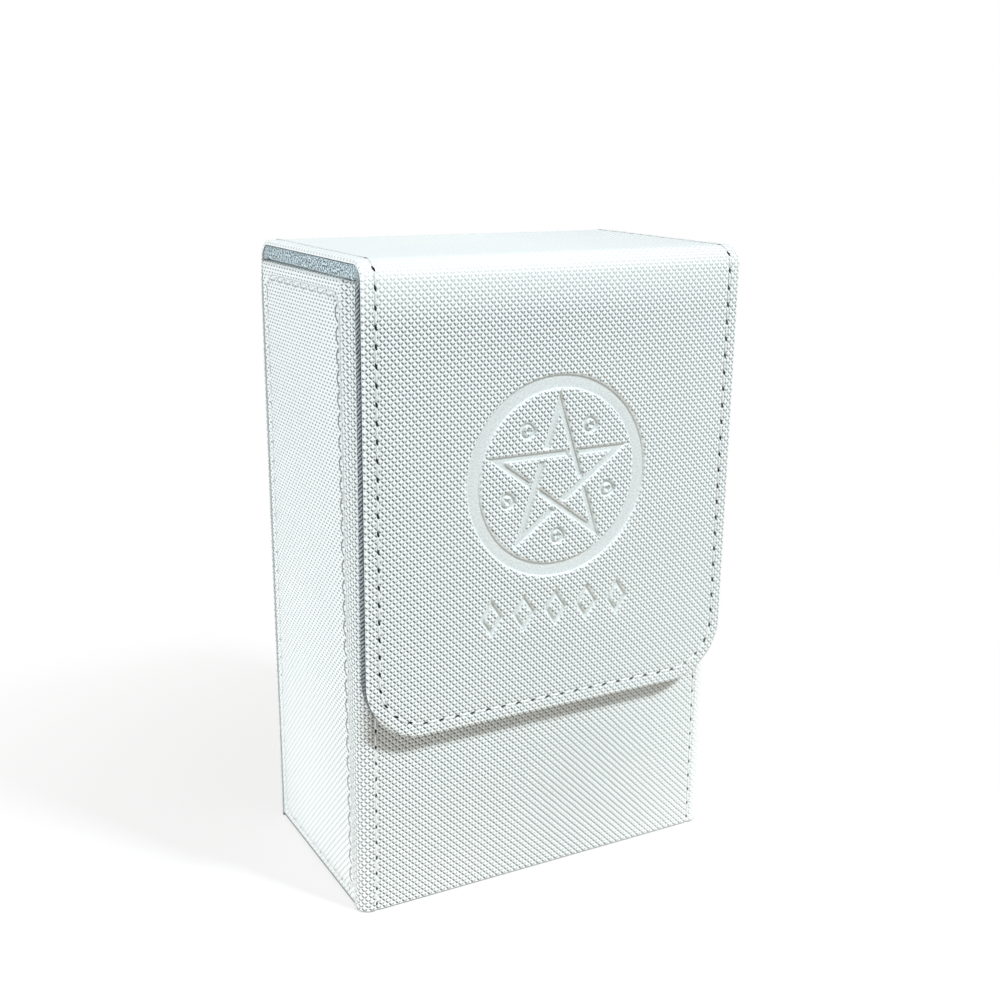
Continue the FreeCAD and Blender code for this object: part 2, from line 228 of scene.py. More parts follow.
def closed_sheet(name, loops, grain, finish, **marks):
    """A mesh of closed rows of points, in millimetres, joined row to row and capped at both ends."""
    rows, around = loops.shape[:2]
    index = np.arange(rows * around).reshape(rows, around)
    beside = np.roll(index, -1, axis=1)
    quads = np.stack([index[:-1], beside[:-1], beside[1:], index[1:]], axis=-1).reshape(-1, 4)
    mesh = bpy.data.meshes.new(name)
    mesh.from_pydata(loops.reshape(-1, 3) * MM, [], quads.tolist() + [index[0].tolist(), index[-1].tolist()])
    shape = bmesh.new()
    shape.from_mesh(mesh)
    bmesh.ops.recalc_face_normals(shape, faces=shape.faces)
    shape.to_mesh(mesh)
    shape.free()
    mesh.shade_smooth()
    mesh.set_sharp_from_angle(angle=math.radians(45))
    flat = np.zeros((rows * around, 3))
    flat[:, :2] = grain.reshape(-1, 2)
    mesh.attributes.new("grain", "FLOAT_VECTOR", "POINT").data.foreach_set("vector", flat.ravel())
    for label, values in marks.items():
        mesh.attributes.new(label, "FLOAT", "POINT").data.foreach_set("value", values.astype(float).ravel())
    mesh.materials.append(finish)
    piece = bpy.data.objects.new(name, mesh)
    bpy.context.collection.objects.link(piece)
    return piece


def glued_sheet(name, node, axes, shows, step, radius, finish):
    """A sheet as large as its frame solid, glued flat to its board.

    axes run across, along and through it, and shows is the side of it that shows.
    """
    low, high = span(node)
    across, along, through = axes
    columns = eased(low[across], high[across], step)
    rows = eased(low[along], high[along], step)
    u, v = np.meshgrid(columns, rows)
    edge = np.minimum.reduce([u - low[across], high[across] - u, v - low[along], high[along] - v])
    loops = np.zeros((len(rows), len(columns) + 2, 3))
    loops[:, :-2, across] = u
    loops[:, -2, across] = high[across]
    loops[:, -1, across] = low[across]
    loops[:, :, along] = rows[:, None]
    outer, inner = (high, low) if shows > 0 else (low, high)
    loops[:, :-2, through] = outer[through] - shows * roll(edge, radius)
    loops[:, -2:, through] = inner[through]
    piece = closed_sheet(name, loops, loops[:, :, (across, along)], finish)
    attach(piece, "box")
    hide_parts(node)


for node, axes, shows in (("base_lining", (X, Y, Z), 1), ("front_lining", (X, Z, Y), 1),
                          ("left_lining", (Y, Z, X), 1), ("right_lining", (Y, Z, X), -1)):
    glued_sheet(node + "_cloth", node, axes, shows, LINING_STEP, LINING_EDGE, nap_finish)

# Leather under the floor
# White synthetic leather with a stamped lattice of small domes, glued flat under the base board.
# The front and side leathers are turned in round its edges.

GRAIN_WIDE = 1.45
GRAIN_HIGH = 1.49
LEATHER = (0.8, 0.858, 0.85, 1)
LEATHER_WARM = (0.815, 0.862, 0.845, 1)
# Darker tone of the stamped domes; their upper edges keep the paler leather as a painted highlight.
FACET = (0.71, 0.762, 0.755, 1)
PRESSED = (0.5, 0.545, 0.535, 1)
PRESSED_PALE = (0.66, 0.708, 0.698, 1)
# Near-black colour of the painted shade along the foot of the walls.
CUT_EDGE = (0.07, 0.075, 0.072, 1)
# Near-black colour of the painted shade in the creases and pits.
VALLEY = (0.02, 0.026, 0.026, 1)


def apart(value, line):
    """How far a value lies from the nearest whole number plus line: 0 on it, 1 half-way to the next."""
    return abs((value + (0.5 - line)).maths("FRACT") - 0.5) * 2.0


def creases(falling, rising):
    """Painted shade under the domes: a long dark line at the lower left of each, a short one at the lower
    right, where light from the upper right would leave the domes' lower sides in shade.

    Where the mark that balances them is high, the two painted lines are more alike.
    """
    opened = mark(falling, "opened")
    long_end = 1.0 - apart(rising, opened * 0.06 + 0.46).rise(0.38, 1.0) * 0.88
    short_end = 1.0 - apart(falling, 0.5 - opened * 0.06).rise(opened * 0.05 + 0.15, opened * 0.14 + 0.76)
    long_line = (1.0 - apart(falling, 0.04).rise(0.08, 0.5)) * long_end * (1.0 - opened * 0.12)
    short_line = (1.0 - apart(rising, -0.04).rise(0.08, 0.48)) * short_end * (opened * 0.16 + 0.74)
    return long_line.maths("MAXIMUM", short_line)


def crests(falling, rising):
    """Painted highlights along the upper edges of the domes, where light from above would catch them."""
    left = 1.0 - apart(falling, -0.13).rise(0.05, 0.4)
    right = 1.0 - apart(rising, 0.13).rise(0.05, 0.4)
    return left.maths("MAXIMUM", right)


def leather(name, lines):
    """White leather with a lattice of domes; lines gives its dark places, which are painted shade."""
    finish, start, sockets = new_finish(name, {"Specular IOR Level": 0.35})
    place = start.node("Attribute", {"attribute_name": "grain"}, output="Vector")
    pressed = mark(start, "pressed")
    along = start.node("SeparateXYZ", sockets={0: place})
    cloud = noise(place, 0.045, 3.0)
    pores = noise(place, 3.0, 3.0)
    wander = noise(place, 0.5) * 0.1
    across = along / GRAIN_WIDE + wander
    up = along.other("Y") / GRAIN_HIGH + wander
    falling, rising = across + up, across - up
    # The fading mark is partly real and partly painted light: the grain thins where the leather is stretched
    # over the bends, and is washed out as painted light on the lid top, the right-hand sides and towards the
    # foot of the side panels.
    stamped = (1.0 - pressed) * (1.0 - mark(start, "stretched"))
    dome = apart(falling, 0.0) ** 0.7 * apart(rising, 0.0) ** 0.7
    white = cloud.rise(0.3, 0.7).between(LEATHER, LEATHER_WARM)
    # Painted highlight: stamped domes take the darker facet tone, except along their upper edges.
    white = (stamped * (1.0 - crests(falling, rising))).between(white, FACET)
    white = pressed.rise(0.75, 1.0).between(white, pores.rise(0.3, 0.7).between(PRESSED, PRESSED_PALE))
    # Painted shade: the dark lines that lines() gives, creases on the front and pits on the sides, go near
    # black.
    white = (lines(falling, rising) * stamped).between(white, VALLEY)
    # Painted shade: a near-black band along the foot, where the box meets the floor.
    start.feed(sockets["Base Color"], mark(start, "cut").between(white, CUT_EDGE))
    start.feed(sockets["Roughness"], 0.6 - dome * 0.1 + pores * 0.08)
    start.feed(sockets["Normal"], start.node("Bump", sockets={
        "Height": dome * stamped + pores * 0.04, "Distance": 0.0002}))
    return finish


leather_finish = leather("white_leather", creases)

glued_sheet("base_leather", "base_skin", (X, Y, Z), -1, 4.0, 0.4, leather_finish)

# Leather of the side walls
# One panel on each side is drawn up over the board and turned in over the rim; its front edge butts
# against the front leather. The wall leans in a little towards the top and swells softly between its rows.

BASE_HALF_FRONT = 43.2
BASE_HALF_BACK = 42.4
TOP_HALF_FRONT = 42.2
TOP_HALF_BACK = 43.25
SEAM_BASE = -20.1
SEAM_TOP = -16.7
SWELL = 0.3
ROW_DEPTH = 0.22
ROW_WIDTH = 0.5
RIM_ROUND = 0.9
INNER_ROUND = 0.5
SEAM_ROLL = 0.45
SIDE_CUT = 0.45
SIDE_ROW_TOP = 128.0
SIDE_ROW_BASE = 2.0
SIDE_ROW_FRONT = 0.75
SIDE_ROW_BACK = 1.7
SIDE_ROW_CORNER = 3.5
SIDE_PITCH = 4.2
PUCKER_BOW = 1.1
front_low, front_high = span("front_skin")
body_half = front_high[X]
front_face = front_low[Y]
rim = front_high[Z]
back_inner = span("back_skin")[0][Y]
cavity_half = span("right_lining")[0][X]
cavity_front = span("front_lining")[1][Y]
cavity_back = span("back_lining")[0][Y]
wall = body_half - cavity_half
skin = rim - span("front_board")[1][Z]


def leaning(y, z):
    """Half the body's width, which narrows towards the top of the front."""
    back_share = np.clip((y - front_face) / (back_inner - front_face), 0.0, 1.0)
    base = BASE_HALF_FRONT + (BASE_HALF_BACK - BASE_HALF_FRONT) * back_share
    top = TOP_HALF_FRONT + (TOP_HALF_BACK - TOP_HALF_FRONT) * back_share
    return base + (top - base) * z / rim


def seam(z):
    """Where the front leather ends on the side, which drifts back towards the top."""
    return SEAM_BASE + (SEAM_TOP - SEAM_BASE) * z / rim


def round_box(x, y, half_x, half_y, radius):
    """Distance inside the outline of a rounded rectangle, negative outside it."""
    over_x = np.abs(x) - half_x + radius
    over_y = np.abs(y) - half_y + radius
    beyond = np.hypot(np.maximum(over_x, 0.0), np.maximum(over_y, 0.0))
    return radius - beyond - np.minimum(np.maximum(over_x, over_y), 0.0)


def sewn_row(distance):
    """The valley that a row of stitches pulls into the leather, at a distance from the row."""
    return ROW_DEPTH * np.exp(-(distance / ROW_WIDTH) ** 2)


climb = eased(0.0, rim - RIM_ROUND, 2.6,
              (0.0, 0.05, 0.15, 0.3, 0.45, 0.6, 0.75, 1.0, 1.5, 2.0, 2.5, 3.0, 3.6, 4.4))
turn = np.linspace(0.0, math.pi / 2, 7)[1:]
face_inset = np.concatenate([roll(climb, 0.25), RIM_ROUND - RIM_ROUND * np.cos(turn), [1.8, 2.6],
                             wall - INNER_ROUND + INNER_ROUND * np.sin(turn)])
face_height = np.concatenate([climb, rim - RIM_ROUND + RIM_ROUND * np.sin(turn), [rim, rim],
                              rim - INNER_ROUND + INNER_ROUND * np.cos(turn)])
under_height = np.minimum(face_height, rim - skin)
under_inset = np.clip(face_inset, skin, wall - 0.75)


def wall_leather(name, node, outline, inside, travel, finish, raw, **marks):
    """Leather drawn up a wall and over its rim. outline gives its face at a height, inside its inner edge.

    raw is the height of the dark band at its foot: painted shade where the box meets the floor.
    """
    z = face_height[:, None]
    face, back = outline(z, True), outline(z, False)
    inner = np.broadcast_to(inside, face.shape)
    outer = face + (inner - face) * (face_inset / wall)[:, None, None]
    under = back + (inner - back) * (under_inset / wall)[:, None, None]
    flat = face.shape[:2]
    outer = np.concatenate([outer, np.broadcast_to(z, flat)[..., None]], axis=-1)
    under = np.concatenate([under, np.broadcast_to(under_height[:, None], flat)[..., None]], axis=-1)
    distance = np.cumsum(np.hypot(np.diff(face_inset, prepend=0.0), np.diff(face_height, prepend=0.0)))
    grain = np.stack(np.meshgrid(travel, distance), axis=-1)
    loops = np.concatenate([outer, under[:, ::-1]], axis=1)
    # The painted foot shade: full up to the given height, fading out 0.3 mm above it.
    marks["cut"] = np.broadcast_to(np.interp(z, [raw, raw + 0.3], [1.0, 0.0]), flat)
    marks = {label: np.concatenate([values, 0 * values], axis=1) for label, values in marks.items()}
    piece = closed_sheet(name, loops, np.concatenate([grain, grain[:, ::-1]], axis=1), finish, **marks)
    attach(piece, "box")
    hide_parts(node)
    return piece


side_share = eased(0.0, 1.0, 0.05, (0.0, 0.004, 0.01, 0.018, 0.027, 0.036, 0.045, 0.055, 0.07))


def side_row_distance(y, z):
    """Distance inside the row of stitches that runs round a side panel."""
    front, back = seam(z) + SIDE_ROW_FRONT, back_inner - SIDE_ROW_BACK
    middle = (SIDE_ROW_TOP + SIDE_ROW_BASE) / 2
    return round_box(y - (front + back) / 2, z - middle, (back - front) / 2, SIDE_ROW_TOP - middle,
                     SIDE_ROW_CORNER)


def side_face(side, y, z, worked=True):
    """How far out a side panel's face lies."""
    out = leaning(y, z)
    if worked:
        row = side_row_distance(y, z)
        out = out + SWELL * np.clip(row / 6.0, 0.0, 1.0) ** 0.5 - sewn_row(row)
        out = out - roll(y - seam(z), SEAM_ROLL) - roll(back_inner - y, 0.3)
    return side * out


def along_side_row(y, z):
    """Length along the row round a side panel, and the strength of the painted shade by its stitches there.
    """
    front, back = seam(z) + SIDE_ROW_FRONT, back_inner - SIDE_ROW_BACK
    from_edge = np.stack([y - front, SIDE_ROW_TOP - z, back - y, z - SIDE_ROW_BASE])
    over = SIDE_ROW_TOP + back - front
    runs = np.stack([z, SIDE_ROW_TOP + y - front, over + SIDE_ROW_TOP - z, over + SIDE_ROW_TOP + back - y])
    nearest = np.argmin(from_edge, axis=0)
    return np.take_along_axis(runs, nearest[None], axis=0)[0], np.array([0.9, 0.45, 0.65, 0.25])[nearest]


def pits(falling, rising):
    """Painted shade: pits where four domes meet, drawn out along the wall, and an arc by each stitch."""
    fall = (falling + 0.5).maths("FRACT") - 0.5
    rise = (rising + 0.5).maths("FRACT") - 0.5
    reach = ((fall + rise) ** 2.0 * 0.8 + (fall - rise) ** 2.0 * 3.0) ** 0.5
    share = abs((mark(falling, "run") / SIDE_PITCH).maths("FRACT") - 0.5) * 2.0
    bow = (1.0 - share ** 2.0) * PUCKER_BOW
    pucker = (1.0 - abs(mark(falling, "row") - bow - 0.1).rise(0.08, 0.36)) * (1.0 - share.rise(0.75, 1.0))
    return ((1.0 - reach.rise(0.22, 0.6)) * 0.85).maths("MAXIMUM", pucker * mark(falling, "pulled"))


side_finish = leather("side_leather", pits)
for side, node in ((-1, "left_side_skin"), (1, "right_side_skin")):

    def side_outline(z, worked, side=side):
        y = seam(z) + side_share * (back_inner - seam(z))
        return np.stack([side_face(side, y, z + 0 * y, worked), y], axis=-1)

    inside_y = SEAM_TOP + side_share * (cavity_back - SEAM_TOP)
    inside = np.stack([np.full_like(inside_y, side * cavity_half), inside_y], axis=-1)
    travel = -side * (SEAM_TOP + side_share * (back_inner - SEAM_TOP))
    z = face_height[:, None]
    y = seam(z) + side_share * (back_inner - seam(z))
    row = side_row_distance(y, z)
    # Painted light: the grain and its painted pits fade towards the panel's foot and its front edge.
    smooth = np.interp(z, [0.0, 100.0], [0.45, 0.0]) * np.interp(side_share, [0.0, 0.6], [0.2, 1.0])
    run, pulled = along_side_row(y, z + 0 * y)
    side_leather = wall_leather(node.replace("skin", "leather"), node, side_outline, inside, travel,
                                side_finish, SIDE_CUT, stretched=smooth, row=row, run=run, pulled=pulled)
    (rim + wall) * MM

# Leather of the front wall
# One piece covers the front, wraps both front corners and is turned in over the rim.
# It swells between the front rows of stitches and the side seams, so each corner is a soft round band.

CORNER = 2.8
FRONT_ROW = 38.9
BAND_SWELL = 0.42
FRONT_CUT = 0.15
flat_half = body_half - CORNER
quarter = CORNER * math.pi / 2
wrap = np.concatenate([np.linspace(0.0, 0.94, 22), [0.955, 0.965, 0.975, 0.985, 0.992],
                       np.linspace(1.0, 2.0, 15), np.linspace(2.0, 3.0, 15)[1:-3],
                       [2.9, 2.94, 2.965, 2.985, 3.0]])
wrap = np.concatenate([-wrap[:0:-1], wrap])


def wrap_plan(share, half, front, radius, end):
    """Plan points and outward directions round the front: flat to share 1, corner to 2, side to 3."""
    size = np.abs(share)
    angle = np.clip(size - 1.0, 0.0, 1.0) * math.pi / 2
    x = np.clip(size, 0.0, 1.0) * (half - radius) + radius * np.sin(angle)
    y = front + radius * (1.0 - np.cos(angle)) + np.clip(size - 2.0, 0.0, 1.0) * (end - front - radius)
    hand = np.sign(share)
    points = np.stack([hand * x + 0 * y, y + 0 * x], axis=-1)
    return points, np.stack([hand * np.sin(angle), -np.cos(angle)], axis=-1)


def wrap_travel(share, end):
    """Length along the leather from the middle of the front."""
    size = np.abs(share)
    return np.sign(share) * (np.clip(size, 0.0, 1.0) * flat_half + np.clip(size - 1.0, 0.0, 1.0) * quarter
                             + np.clip(size - 2.0, 0.0, 1.0) * (end - front_face - CORNER))


def front_outline(z, worked):
    """Plan points of the front leather at a height, with or without its swell and its sewn rows."""
    points, outward = wrap_plan(wrap, body_half, front_face, CORNER, seam(z))
    points[..., 0] *= leaning(points[..., 1], z) / body_half
    if worked:
        travel = np.abs(wrap_travel(wrap, seam(z)))
        left = flat_half + quarter + seam(z) - front_face - CORNER - travel
        band = np.clip((travel - FRONT_ROW) / (travel + left - FRONT_ROW), 0.0, 1.0)
        out = BAND_SWELL * np.sin(np.pi * band ** 1.4) ** 0.7
        out = out - sewn_row(travel - FRONT_ROW) - roll(left, SEAM_ROLL)
        points = points + outward * out[..., None]
    return points


cavity_wrap = wrap_plan(wrap, cavity_half, cavity_front, 0.4, SEAM_TOP)[0]
travel = wrap_travel(wrap, SEAM_BASE)
every_row = np.ones((len(face_height), 1))
# Painted light: the grain fades across the front's right-hand side and its right corner band.
worn = every_row * np.interp(travel, [10.0, FRONT_ROW - 1.0, FRONT_ROW + 1.5], [0.0, 0.22, 0.62])
# The corner bands get a different balance of the painted crease shade.
bent = every_row * np.interp(np.abs(travel), [FRONT_ROW - 1.0, FRONT_ROW + 1.0], [0.0, 0.8])
front_leather = wall_leather("front_leather", "front_skin", front_outline, cavity_wrap, travel,
                             leather_finish, FRONT_CUT, stretched=worn, opened=bent)
wrapped = 2 * (flat_half + quarter + SEAM_BASE - front_face - CORNER)
wrapped * MM
(rim + wall) * MM

# Cover leather of the back, the lid and the flap
# One long strip of the same leather runs up the back, over the lid and down the front as the flap.
# Its edges are rolled under and sewn, its two bends are the hinges, and the flap carries a pressed ring.

EDGE_ROLL = 0.7
EDGE_ROW = 2.6
END_ROW = 2.95
FLAP_TILT = -0.003
FLAP_CORNER = 13.0
BACK_MARGIN = 0.3
PRESS_DEPTH = 0.62
PRESS_WALL = 0.42
# How far the grain fades on the lid top and the fold: partly for stretched leather, partly as painted light.
LID_SMOOTH = 0.6
LID_TIGHT = 0.08
RING_SIDE = -0.35
RING_HEIGHT = 90.1
LOZENGE_HEIGHT = 62.0
GRAIN_DIRECTION = {"back_cover": 1.0, "flap_cover": -1.0}
lid_low, lid_high = span("lid_skin")
flap_low, flap_high = span("flap_skin")
cover_half = lid_high[X]
bend_radius = span("back_fold_skin")[1][Y] - span("back_fold_skin")[0][Y]
bend_length = bend_radius * math.pi / 2
back_face = span("back_skin")[1][Y]
back_run = span("back_skin")[1][Z]
lid_middle = (lid_low[Y] + lid_high[Y]) / 2
lid_run = lid_middle - lid_low[Y]
flap_start = lid_run + bend_length
flap_end = flap_start + flap_high[Z] - flap_low[Z]
BACK_STRIP = ((back_face, 0.0), (0.0, 1.0), (1.0, 0.0), back_run, 0.0)
FLAP_STRIP = ((lid_middle, lid_high[Z]), (-1.0, 0.0), (0.0, 1.0), lid_run, FLAP_TILT)


def on_strip(strip, x, s, depth):
    """A place on a cover strip: x across, s along its face, depth below its face."""
    begin, heading, facing, run, tilt = strip
    straight = np.clip(s, None, run)
    angle = np.clip((s - run) / bend_radius, 0.0, math.pi / 2)
    after = np.clip(s - run - bend_length, 0.0, None)
    reach = bend_radius - depth
    places = [x + 0 * s]
    for i in (0, 1):
        turned = reach * (facing[i] * np.cos(angle) + heading[i] * np.sin(angle)) - facing[i] * bend_radius
        places.append(begin[i] + heading[i] * (straight + tilt * after) + turned - facing[i] * after)
    return np.stack(np.broadcast_arrays(*places), axis=-1)


def wall_of_press(inside):
    """From 0 on the raised leather to 1 on the pressed floor, by the distance inside a stamp's outline."""
    t = np.clip(inside / PRESS_WALL + 0.5, 0.0, 1.0)
    return t * t * (3.0 - 2.0 * t)


def ring_and_star(x, z):
    """Inside distance of the stamped ring, its interlaced five-strip star and its five ringed dots."""
    ring_outer, ring_band, star_tip, strip_width, strip_gap = 21.1, 3.0, 17.7, 1.4, 0.5
    dot_circle, dot_outer, dot_band, dot_middle = 12.5, 1.8, 0.8, 0.5
    reach = star_tip * math.cos(math.radians(72))
    inside = ring_band / 2 - np.abs(np.hypot(x, z) - ring_outer + ring_band / 2)
    for k in range(5):
        point = math.radians(18 + 72 * k)

        def outward(step):
            way = point + math.radians(72 * step)
            return x * math.cos(way) + z * math.sin(way)

        strip = np.minimum.reduce([reach - outward(0), outward(0) - reach + strip_width,
                                   reach - outward(2), reach - outward(-2)])
        crossing = np.minimum(outward(-1) - reach + strip_width + strip_gap, reach + strip_gap - outward(-1))
        inside = np.maximum(inside, np.minimum(strip, -crossing))
        notch = point + math.pi / 5
        dot = np.hypot(x - dot_circle * math.cos(notch), z - dot_circle * math.sin(notch))
        inside = np.maximum(inside, dot_band / 2 - np.abs(dot - dot_outer + dot_band / 2))
        inside = np.maximum(inside, dot_middle - dot)
    return inside


def lozenge_row(x, z):
    """Inside distance of a row of five stamped lozenges."""
    pitch, wide, tall, line = 7.6, 2.75, 4.1, 0.95
    nearest = np.clip(np.round(x / pitch), -2, 2)
    slope = wide * tall / math.hypot(wide, tall)
    depth = slope * (1.0 - np.abs(x - nearest * pitch) / wide - np.abs(z) / tall)
    return line / 2 - np.abs(depth - line / 2)


def cover_half_at(s):
    """Half the back strip's width: as wide as the leaning body low down, as wide as the lid above."""
    body = leaning(back_face, np.clip(s, 0.0, rim)) + BACK_MARGIN
    share = np.clip((s - back_run + 8.0) / 10.0, 0.0, 1.0)
    return body + (cover_half - body) * share ** 2 * (3.0 - 2.0 * share)


def flap_half_at(s):
    """Half the front strip's width, which rounds off at the flap's lower corners."""
    below = np.clip(s - flap_end + FLAP_CORNER, 0.0, FLAP_CORNER)
    return cover_half - FLAP_CORNER + np.sqrt(FLAP_CORNER ** 2 - below ** 2)


def flap_edge(x, s, side=0.0, end=0.0):
    """Distance inside the front strip's outline, or inside a line drawn in from its sides and its end."""
    return round_box(x, s + end, cover_half - side, flap_end, FLAP_CORNER - side)


def cover_sheet(name, strip, columns, rows, half, drop, pressed, stretched):
    """A cover leather: its worked face, and a plain back one skin thickness below."""
    s = rows[:, None]
    x = columns[None, :] * half(s)
    ends = np.concatenate([half(s), -half(s)], axis=1)
    loops = np.concatenate([on_strip(strip, x, s, drop(x, s)), on_strip(strip, ends, s, skin)], axis=1)
    across = np.concatenate([x, ends], axis=1)
    grain = np.stack([across, np.broadcast_to(GRAIN_DIRECTION[name] * s, across.shape)], axis=-1)
    marks = np.concatenate([pressed(x, s), np.ones_like(ends)], axis=1)
    right_share = np.clip(across / cover_half, 0.0, 1.0)
    # Painted light: the grain fades more towards the covers' right side; on the lid and the fold it fades
    # partly for stretched leather and partly as painted light.
    smooth = np.interp(s, *stretched) * (1.0 - 0.6 * right_share) + 0.18 * right_share
    # Shifts the balance of the painted crease shade down the flap and towards its right, as light and view
    # change.
    opened = np.clip(np.interp(s, [flap_start, flap_end], [1.0, 0.0]) + 0.4 * across / cover_half, 0.0, 1.0)
    return closed_sheet(name, loops, grain, leather_finish, pressed=marks, stretched=smooth, opened=opened)


edge_columns = cover_half - np.array([0.0, 0.02, 0.07, 0.15, 0.27, 0.42, 0.6, 0.85, 1.2, 1.6, 1.9, 2.15, 2.4,
                                      2.6, 2.8, 3.05, 3.3, 3.7, 4.3, 5.2])
bend_rows = np.linspace(0.0, bend_length, 21)
hinge_rows = np.concatenate([bend_rows[:8], bend_rows[13:]])


def back_drop(x, s):
    """How far the back leather's face lies below the plain strip."""
    edge = cover_half_at(s) - np.abs(x)
    tight = np.interp(s, [back_run, back_run + bend_length], [1.0, LID_TIGHT])
    return roll(edge, EDGE_ROLL) + roll(s, 0.5) + tight * sewn_row(edge - EDGE_ROW)


columns = np.concatenate([-edge_columns, np.linspace(-edge_columns[-1], edge_columns[-1], 32)[1:-1],
                          edge_columns[::-1]]) / cover_half
rows = np.concatenate([[0.0, 0.08, 0.2, 0.35, 0.5, 1.0], np.linspace(3.0, back_run - 2.0, 50),
                       back_run + hinge_rows,
                       np.linspace(1.0, lid_high[Y] - lid_middle, 12) + back_run + bend_length])
back_cover = cover_sheet("back_cover", BACK_STRIP, columns, rows, cover_half_at, back_drop,
                         lambda x, s: 0 * x, ([back_run, back_run + bend_length], [0.0, LID_SMOOTH]))
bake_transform(back_cover)
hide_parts("back_skin", "back_fold_skin")


def flap_press(x, s):
    """From 0 on the raised leather to 1 on the pressed floor of the ring and the lozenges."""
    z = flap_high[Z] - (s - flap_start)
    ring = wall_of_press(ring_and_star(x - RING_SIDE, z - RING_HEIGHT))
    lozenges = wall_of_press(lozenge_row(x - RING_SIDE, z - LOZENGE_HEIGHT))
    return np.where(s > flap_start, np.maximum(ring, lozenges), 0.0)


def flap_drop(x, s):
    """How far the lid's and the flap's leather lies below the plain strip."""
    row = flap_edge(x, s, EDGE_ROW, END_ROW)
    tight = np.interp(s, [lid_run, flap_start], [LID_TIGHT, 1.0])
    return roll(flap_edge(x, s), EDGE_ROLL) + tight * sewn_row(row) + PRESS_DEPTH * flap_press(x, s)


stamp_columns = np.arange(-21.5, 21.51, 0.2)
plain_columns = np.linspace(stamp_columns[-1], edge_columns[-1], 14)[1:-1]
columns = np.concatenate([-edge_columns, -plain_columns[::-1], stamp_columns, plain_columns,
                          edge_columns[::-1]]) / cover_half
corner_turn = np.linspace(0.0, math.pi / 2, 29)
stamp_rows = flap_high[Z] - np.concatenate([np.arange(111.7, 68.5, -0.2), np.arange(67.4, 57.2, -0.25)])
rows = np.concatenate([np.linspace(0.0, lid_run, 12)[:-1], lid_run + bend_rows,
                       flap_start + np.linspace(0.5, stamp_rows[0] - 0.5, 12), flap_start + stamp_rows,
                       np.linspace(flap_start + stamp_rows[-1] + 0.6, flap_end - FLAP_CORNER - 0.4, 4),
                       flap_end - FLAP_CORNER + FLAP_CORNER * np.sin(corner_turn)])
flap_cover = cover_sheet("flap_cover", FLAP_STRIP, columns, rows, flap_half_at, flap_drop, flap_press,
                         ([flap_start - 1.0, flap_start + 8.0], [LID_SMOOTH, 0.0]))
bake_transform(flap_cover)
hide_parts("lid_skin", "front_fold_skin", "flap_skin")
flap_end * MM

# Lining of the back, the lid and the flap
# The same microfibre lines the back wall, tucks into the bend, covers the lid's underside and runs on
# down the flap. It is turned round the boards' edges, where it shows as a grey band under the leather.

BAND_INSET = 0.1
FLAP_PAD = 0.2
CREASE = 0.5
HINGE_STRETCH = 4.5
band_profile = np.array([(1.5, 0.0), (0.5, 0.0), (0.22, 0.03), (0.1, 0.12), (0.02, 0.3), (0.0, 0.5),
                         (0.0, 0.75), (0.03, 0.9), (0.14, 0.97), (0.4, 1.0), (1.5, 1.0)])
near_fold = np.array([0.25, 0.5, 0.75, 1.0, 1.6, 2.4, 3.4, 4.5])
lining_face = lid_high[Z] - span("lid_lining")[0][Z]


def band_lining(name, strip, rows, half, top, face, spread, turned):
    """A lining slab in rows across a strip: half its width, and the depths of its top and its face.

    spread draws the nap out along the fold, and turned says where it is turned round the board's edge
    and takes the darker twill, whose darkness is painted shade.
    """
    inset, share = np.concatenate([band_profile, band_profile[::-1]]).T
    side = np.repeat([-1.0, 1.0], len(band_profile))
    s = rows[:, None]
    x = side * (half[:, None] - inset)
    depth = top[:, None] + (face - top)[:, None] * share
    loops = on_strip(strip, x, s, depth)
    grain = np.stack([x + side * depth, s + spread[:, None] * (share > 0.99)], axis=-1)
    rolled = np.clip(1.4 - inset / 0.5, 0.0, 1.0) + 0 * s
    edge = rolled * turned[:, None]
    # Painted shade in the band: a dark line in the gap under the leather's edge, a wide dark strip where it
    # is turned on the flap, and more dark towards the flap's lower corner.
    seam_dark = np.interp(share, [0.03, 0.12], [1.0, 0.0]) * (1.0 - turned[:, None])
    wide_dark = np.interp(share, [0.03, 0.12, 0.3, 0.5, 0.75], [1.0, 0.9, 0.45, 0.1, 0.0])
    low_dark = np.interp(flap_end - rows, [10.0, 22.0, 45.0], [0.6, 0.1, 0.0])
    hidden = np.maximum(seam_dark + wide_dark * turned[:, None], low_dark[:, None] * edge)
    return closed_sheet(name, loops, grain, nap_finish, rolled=rolled, turned=edge, tucked=hidden)


def crease_depth(s, run):
    """Depth of the lining's face, which tucks in where the strip bends."""
    inside = np.minimum(s - run + 1.0, run + bend_length + 1.0 - s)
    return lining_face - CREASE * np.clip(inside, 0.0, 1.0)


wall_low, wall_high = span("back_lining")
wall_rows = np.concatenate([wall_low[Z] + np.array([0.0, 0.3, 1.0]), np.linspace(8.0, back_run - 6.0, 30),
                            back_run - np.array([5.0, 4.0, 3.0, 2.2, 1.5, 1.0, 0.6, 0.3, 0.1])])
lid_rows = np.concatenate([back_run + hinge_rows, back_run + bend_length + near_fold,
                           back_run + bend_length + np.array([7.0, 12.0, lid_run])])
rows = np.concatenate([wall_rows, lid_rows])
on_wall = np.arange(len(rows)) < len(wall_rows)
half = np.where(on_wall, wall_high[X], cover_half - BAND_INSET)
top = np.where(on_wall, back_face - wall_high[Y], skin)
spread = HINGE_STRETCH * np.clip((rows - back_run) / bend_length, 0.0, 1.0)
face = crease_depth(rows, back_run)
back_band = band_lining("back_and_lid_lining", BACK_STRIP, rows, half, top, face, spread, 0 * rows)
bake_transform(back_band)
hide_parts("back_lining", "back_fold_lining")

